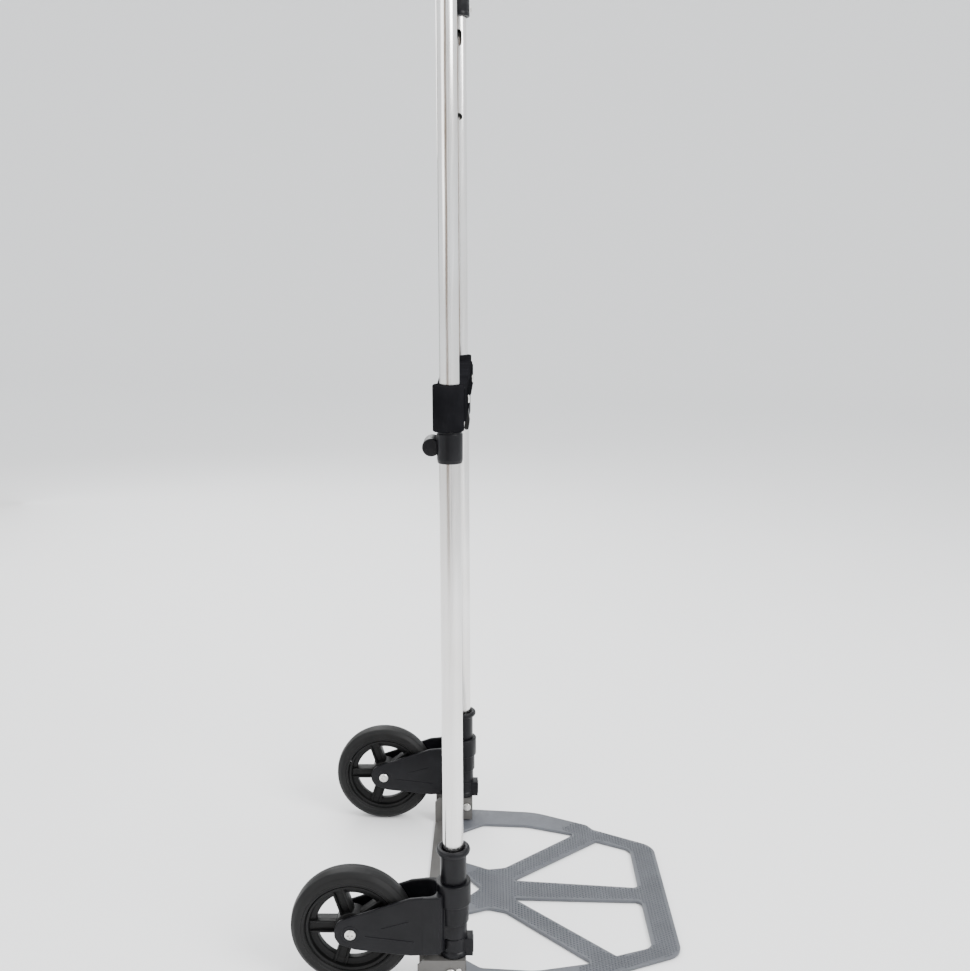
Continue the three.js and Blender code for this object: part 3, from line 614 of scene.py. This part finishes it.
def lock_housing():
    opening = bridge_outline(WALL)
    foot, step = CLAMP_TOP + GAP, LOCK_TOP - 3.5
    housing = Piece()
    housing.slab(bridge_outline(), 0.2, BRIDGE_BACK - 1, "y", [opening], 0.8)
    housing.slab(bridge_outline(), BRIDGE_BACK - WALL, BRIDGE_BACK, "y", edge=1.0)
    for side in (-1, 1):
        x = side * TUBE_X
        sleeve = [
            (OUTER_R + GAP, foot, 0.2), (SLEEVE_R, foot, 1.2), (SLEEVE_R, LOCK_TOP, 1.6),
            (INNER_R + GAP, LOCK_TOP, 0.4), (INNER_R + GAP, step, 0.2), (OUTER_R + GAP, step, 0.2),
        ]
        housing.turned(sleeve, "z", (x, 0, 0), 96)
        skin = [(12, foot, 0.2), (SLEEVE_R, foot, 1.2), (SLEEVE_R, LOCK_TOP, 1.6), (12, LOCK_TOP, 0.2)]
        housing.turned(skin, "z", (x, SLEEVE_Y, 0), 96)
        arms = sorted((side * 147.6, side * 161.2))
        for y0, y1 in ((-6, -4.4), (4.4, 12)):
            housing.block(arms[0], arms[1], y0, y1, BRIDGE_FLOOR + 0.5, BRIDGE_ROOF - 0.5, 0.7)
        x0, x1 = sorted((side * 20, side * 120))
        back = BRIDGE_BACK
        housing.block(x0, x1, back - 1.2, back - 0.1, LOCK_PIN_Z - 1, LOCK_PIN_Z + 1, 0.3)
    housing.made("lock_bridge", "frame", ["lock_housing"], "black_plastic", finish="lock_plastic")

    wide, front = TRIGGER_HALF + 1.5, BRIDGE_FRONT + WALL
    slot = Piece().block(-wide, wide, front, 1, BRIDGE_FLOOR - 2, BRIDGE_FLOOR + 12, 0.3)
    cover = Piece()
    cover.slab(bridge_outline(), BRIDGE_FRONT + 1, -GAP, "y", [opening], 0.8)
    cover.slab(bridge_outline(), BRIDGE_FRONT, BRIDGE_FRONT + WALL, "y", edge=1.0)
    for side in (-1, 1):
        ear = side * (TRIGGER_HALF + 4)
        low, high = TRIGGER_PIVOT_Z - 5, TRIGGER_PIVOT_Z + 5
        cover.block(ear - 1.5, ear + 1.5, BRIDGE_FRONT + 1, TRIGGER_Y + 4, low, high, 0.4)
        for reach in COVER_RIBS:
            rib = side * reach
            low, high = BRIDGE_FLOOR + 5, BRIDGE_ROOF - 3
            cover.block(rib - 0.8, rib + 0.8, BRIDGE_FRONT - 0.9, BRIDGE_FRONT + 0.6, low, high, 0.3)
    cover.made("lock_front_cover", "frame", ["lock_cover"], "black_plastic", cutters=[slot],
               finish="lock_plastic")
    pin = Piece().turned(pin_profile(1.5, -18, 18, 0.3), "x", (0, TRIGGER_Y, TRIGGER_PIVOT_Z), 24)
    pin.made("trigger_pivot", "frame", ["trigger_pin"], "steel")

    t = TRIGGER_Y
    lever = Piece().slab(rounded([
        (t - 3.2, TRIGGER_PIVOT_Z + 3, 2.5), (t - 3.2, 570, 3), (t - 4.5, 562, 4), (t - 5.8, 553, 3),
        (t - 4.5, TRIGGER_TIP_Z, 2.4), (t + 0.5, TRIGGER_TIP_Z, 2.4), (t - 0.5, 553, 3), (t + 1.5, 562, 4),
        (t + 3, 570, 3), (t + 3, TRIGGER_PIVOT_Z + 3, 2.5),
    ]), -TRIGGER_HALF, TRIGGER_HALF, "x", edge=1.0)
    bore = Piece().turned(pin_profile(1.8, -14, 14), "x", (0, TRIGGER_Y, TRIGGER_PIVOT_Z), 24)
    lever.made("squeeze_lever", "trigger", ["release_trigger"], "rim_plastic", cutters=[bore])


def lock_side(name, side):
    x = side * TUBE_X
    clamp = Piece().turned([
        (OUTER_R + GAP, CLAMP_BOTTOM, 0.2), (11.4, CLAMP_BOTTOM, 0.4), (12.1, CLAMP_BOTTOM + 3.5, 2),
        (CLAMP_R, CLAMP_TOP - 2.2, 0.8), (11.4, CLAMP_TOP - 1.2, 0.3), (11.4, CLAMP_TOP, 0.3),
        (OUTER_R + GAP, CLAMP_TOP, 0.2),
    ], "z", (x, 0, 0), 96)
    clamp.made(f"{name}_tube_clamp", "frame", [f"{name}_lower_clamp"], "black_plastic")
    end = -side * 30
    at = (x, POST_BACK, POST_Z)
    post = Piece().turned([(0, 0), (8.5, 0, 1.6), (8.5, end, 1.6), (0, end)], "x", at, 64)
    scoop = Piece().turned(pin_profile(CLAMP_R + 0.05, CLAMP_BOTTOM - 2, CLAMP_TOP + 2), "z", (x, 0, 0), 96)
    post.made(f"{name}_rear_post", "frame", [f"{name}_cord_post"], "black_plastic", cutters=[scoop])
    at = (side * 100, BRIDGE_FRONT - GAP, LOCK_PIN_Z)
    screw = screw_head(Piece(), 4, 2, "y", at, -1)
    top = (at[0], at[1] - 2, at[2])
    screw.made(f"{name}_cover_fixing", "frame", [f"{name}_cover_screw"], "steel",
               cutters=[cross_recess(4, 1.2, "y", top, -1)])
    at = (0, 0, LOCK_PIN_Z)
    reach = side * LOCK_PIN_INNER
    shank = sorted((reach, side * (TUBE_X - OUTER_BORE - 0.2)))
    head = sorted((reach, reach + side * 4))
    pin = Piece().turned(pin_profile(LOCK_PIN_R, *shank, 0.8), "x", at, 40)
    pin.turned(pin_profile(6, *head), "x", at, 40)
    pin.made(f"{name}_locking_pin", f"{name}_lock", [f"{name}_lock_pin"], "steel")


# ---- telescoping handle ----
def handle_side(name, side):
    x = side * TUBE_X
    face = side * (TUBE_X - INNER_R)
    top = LOCK_PIN_Z + TRAVEL
    cutters = [
        Piece().turned(pin_profile(LOCK_HOLE_R, -5, 5), "x", (face, 0, z), 40)
        for z in (LOCK_PIN_Z, MIDDLE_HOLE_Z)
    ]
    low, high, half, bend = top - SLOT_HALF, top + SLOT_HALF, LOCK_HOLE_R, LOCK_HOLE_R - 0.1
    slot = [(-half, low, bend), (half, low, bend), (half, high, bend), (-half, high, bend)]
    cutters.append(Piece().slab(rounded(slot), face - 5, face + 5, "x", edge=0.1))
    section = tube_profile(INNER_BORE, INNER_R, INNER_FOOT, GRIP_Z - 14)
    tube = Piece().turned(section, "z", (x, 0, 0), 96)
    tube.made(f"{name}_upper_tube", "handle", [f"{name}_inner_tube"], "bright_tube", cutters=cutters)
    bush = Piece().turned([
        (0, INNER_FOOT - 6), (INNER_R, INNER_FOOT - 6, 1), (INNER_R, INNER_FOOT - GAP, 0.3),
        (INNER_BORE - GAP, INNER_FOOT - GAP), (INNER_BORE - GAP, INNER_FOOT + 16, 0.5), (0, INNER_FOOT + 16),
    ], "z", (x, 0, 0))
    bush.made(f"{name}_slide_bush", "handle", [f"{name}_guide_bush"], "rim_plastic")

    elbow = Piece()
    path = [Vector((x, 0, HANDLE_BOTTOM + 1.2))]
    for k in range(25):
        angle = math.pi / 2 * k / 24
        path.append(Vector((
            side * (TUBE_X - ELBOW_BEND * (1 - math.cos(angle))), 0,
            GRIP_Z - ELBOW_BEND * (1 - math.sin(angle)),
        )))
    path.append(Vector((side * (TUBE_X - ELBOW_REACH + 0.5), 0, GRIP_Z)))
    elbow_shell(elbow, path, ELBOW_R - 0.2)
    for axis, at, low, high in (
        ("z", (x, 0, 0), HANDLE_BOTTOM, HANDLE_BOTTOM + 5),
        ("x", (0, 0, GRIP_Z), *sorted((side * (TUBE_X - ELBOW_REACH), side * (TUBE_X - ELBOW_REACH + 4)))),
    ):
        band = [(OUTER_BORE, low, 0.2), (ELBOW_R, low, 1.1), (ELBOW_R, high, 0.8), (OUTER_BORE, high, 0.2)]
        elbow.turned(band, axis, at)
    elbow.made(f"{name}_elbow", "handle", [f"{name}_handle_elbow"], "black_plastic")
    at = (x, -ELBOW_R - GAP, HANDLE_BOTTOM + 8)
    screw = screw_head(Piece(), 3.6, 1.9, "y", at, -1)
    screw.made(f"{name}_elbow_fixing", "handle", [f"{name}_elbow_screw"], "steel",
               cutters=[cross_recess(3.6, 1.1, "y", (at[0], at[1] - 1.9, at[2]), -1)])


def elbow_shell(piece, path, radius, segments=48):
    """A thick-walled bend: an outer and an inner skin along one path, joined at both ends."""
    rings = []
    for index, place in enumerate(path):
        ahead = path[min(index + 1, len(path) - 1)] - path[max(index - 1, 0)]
        out = Vector((0, 1, 0)).cross(ahead).normalized()
        rings.append([
            [place + r * (math.cos(a) * out + math.sin(a) * Vector((0, 1, 0))) for a in
             (2 * math.pi * k / segments for k in range(segments))]
            for r in (radius, OUTER_BORE)
        ])
    mesh = piece.mesh
    outer = [[mesh.verts.new(p) for p in ring[0]] for ring in rings]
    inner = [[mesh.verts.new(p) for p in ring[1]] for ring in rings]
    loops = outer + inner[::-1]
    for ring, following in zip(loops, loops[1:] + loops[:1]):
        for k in range(segments):
            m = (k + 1) % segments
            mesh.faces.new((ring[k], ring[m], following[m], following[k]))


def handle_grip():
    bar = Piece().turned(tube_profile(BAR_BORE, BAR_R, -BAR_HALF, BAR_HALF), "x", (0, 0, GRIP_Z), 64)
    bar.made("handle_crossbar", "handle", ["crossbar"], "bright_tube")
    end = TUBE_X - ELBOW_REACH - 0.5
    rib, groove, land = 6.0, 0.9, 22.0
    outer = [(GRIP_R, -end, 1.4), (GRIP_R, -end + land - 2)]
    count = int((2 * end - 2 * land) / rib)
    start = -count * rib / 2
    for k in range(count):
        low, sunk = start + k * rib, GRIP_R - groove
        outer += [(GRIP_R, low + 0.6), (sunk, low + 1.5), (sunk, low + 2.6), (GRIP_R, low + 3.5)]
    outer += [(GRIP_R, end - land + 2), (GRIP_R, end, 1.4)]
    section = [(BAR_R + GAP, -end, 0.3), *outer, (BAR_R + GAP, end, 0.3)]
    grip = Piece().turned(section, "x", (0, 0, GRIP_Z), 80)
    grip.made("foam_grip", "handle", ["grip"], "grip_foam")


# ---- studio ----
def camera_and_lights():
    place = Vector((-1177.9, -40.7, 716.5))
    yaw, pitch, roll, lens = 0.0139, 0.1962, -0.0031, 40.78
    ahead = Vector((math.cos(pitch) * math.cos(yaw), math.cos(pitch) * math.sin(yaw), -math.sin(pitch)))
    right = ahead.cross(Vector((0, 0, 1))).normalized()
    up = right.cross(ahead)
    tilted_right = math.cos(roll) * right + math.sin(roll) * up
    tilted_up = math.cos(roll) * up - math.sin(roll) * right
    turn = Matrix((tilted_right, tilted_up, -ahead)).transposed().to_4x4()
    leaning = Matrix.Rotation(-LEAN, 4, "X")
    data = bpy.data.cameras.new("camera")
    data.lens = lens
    data.sensor_width = 36
    data.shift_x, data.shift_y = 0.0064, -0.0012
    data.clip_start = 0.05
    camera = bpy.data.objects.new("camera", data)
    bpy.context.scene.collection.objects.link(camera)
    camera.matrix_world = Matrix.Translation(LEANING @ place) @ leaning @ turn
    bpy.context.scene.camera = camera

    world = bpy.data.worlds.new("studio")
    world.use_nodes = True
    world.node_tree.nodes["Background"].inputs["Color"].default_value = (0.96, 0.98, 1.0, 1)
    world.node_tree.nodes["Background"].inputs["Strength"].default_value = 1.45
    bpy.context.scene.world = world
    for name, spot, aim, size, power in (
        ("key", (-1.4, -1.9, 2.2), (0, 0, 0.35), 1.3, 75),
        ("fill", (-1.9, 1.7, 1.5), (0, 0, 0.4), 1.6, 22),
        ("top", (0.3, 0.1, 2.9), (0, 0, 0.3), 2.2, 45),
        ("back", (1.9, 0.9, 1.7), (0, 0, 0.5), 1.5, 30),
    ):
        light = bpy.data.lights.new(name, "AREA")
        light.size, light.energy = size, power
        lamp = bpy.data.objects.new(name, light)
        lamp.location = spot
        lamp.rotation_euler = (Vector(aim) - Vector(spot)).to_track_quat("-Z", "Y").to_euler()
        bpy.context.scene.collection.objects.link(lamp)


def dark_cards():
    """Brown and grey cards give the bright tubes their dark stripes. Only reflections see them."""
    for name, low, high, tone in (
        ("room_side", (-2.6, 0.25, 0), (-2.2, 1.5, 2.6), (0.16, 0.12, 0.09)),
        ("stand_side", (-2.4, -0.62, 0), (-2.4, -0.5, 2.6), (0.05, 0.05, 0.05)),
        ("far_side", (1.9, 1.35, 0), (1.6, 2.1, 2.6), (0.2, 0.19, 0.18)),
    ):
        mesh = bpy.data.meshes.new(name)
        x0, y0, z0 = low
        x1, y1, z1 = high
        mesh.from_pydata([(x0, y0, z0), (x1, y1, z0), (x1, y1, z1), (x0, y0, z1)], [], [(0, 1, 2, 3)])
        card = bpy.data.objects.new(name, mesh)
        bpy.context.scene.collection.objects.link(card)
        mesh.materials.append(node_material(name, tone, 0.8)[0])
        card.visible_camera = False
        card.visible_shadow = False


def floor():
    """A pale sweep: flat under the truck and curving up into a wall far behind it."""
    near, flat_end, bend, height, half, level = -12.0, 5.0, 3.0, 9.0, 14.0, -0.0005
    profile = [(near, level), (flat_end, level)]
    for k in range(1, 25):
        angle = math.pi / 2 * k / 24
        profile.append((flat_end + bend * math.sin(angle), level + bend * (1 - math.cos(angle))))
    profile.append((flat_end + bend, height))
    corners = [(x, y, z) for x, z in profile for y in (-half, half)]
    faces = [(2 * k, 2 * k + 2, 2 * k + 3, 2 * k + 1) for k in range(len(profile) - 1)]
    sheet = bpy.data.meshes.new("floor")
    sheet.from_pydata(corners, [], faces)
    sheet.shade_smooth()
    ground = bpy.data.objects.new("floor", sheet)
    bpy.context.scene.collection.objects.link(ground)
    material, shader = node_material("pale_floor", (0.92, 0.92, 0.92), 0.6)
    vary(material, shader.inputs["Roughness"], noise(material, 3.0, 2.0), 0.55, 0.65)
    sheet.materials.append(material)


camera_and_lights()
dark_cards()
floor()
base()
toe_plate()
for side_name, side_sign in SIDES.items():
    tube_foot(side_name, side_sign)
    wheel_fork(side_name, side_sign)
    wheel(side_name, side_sign)
    lock_side(side_name, side_sign)
    handle_side(side_name, side_sign)
lock_housing()
handle_grip()
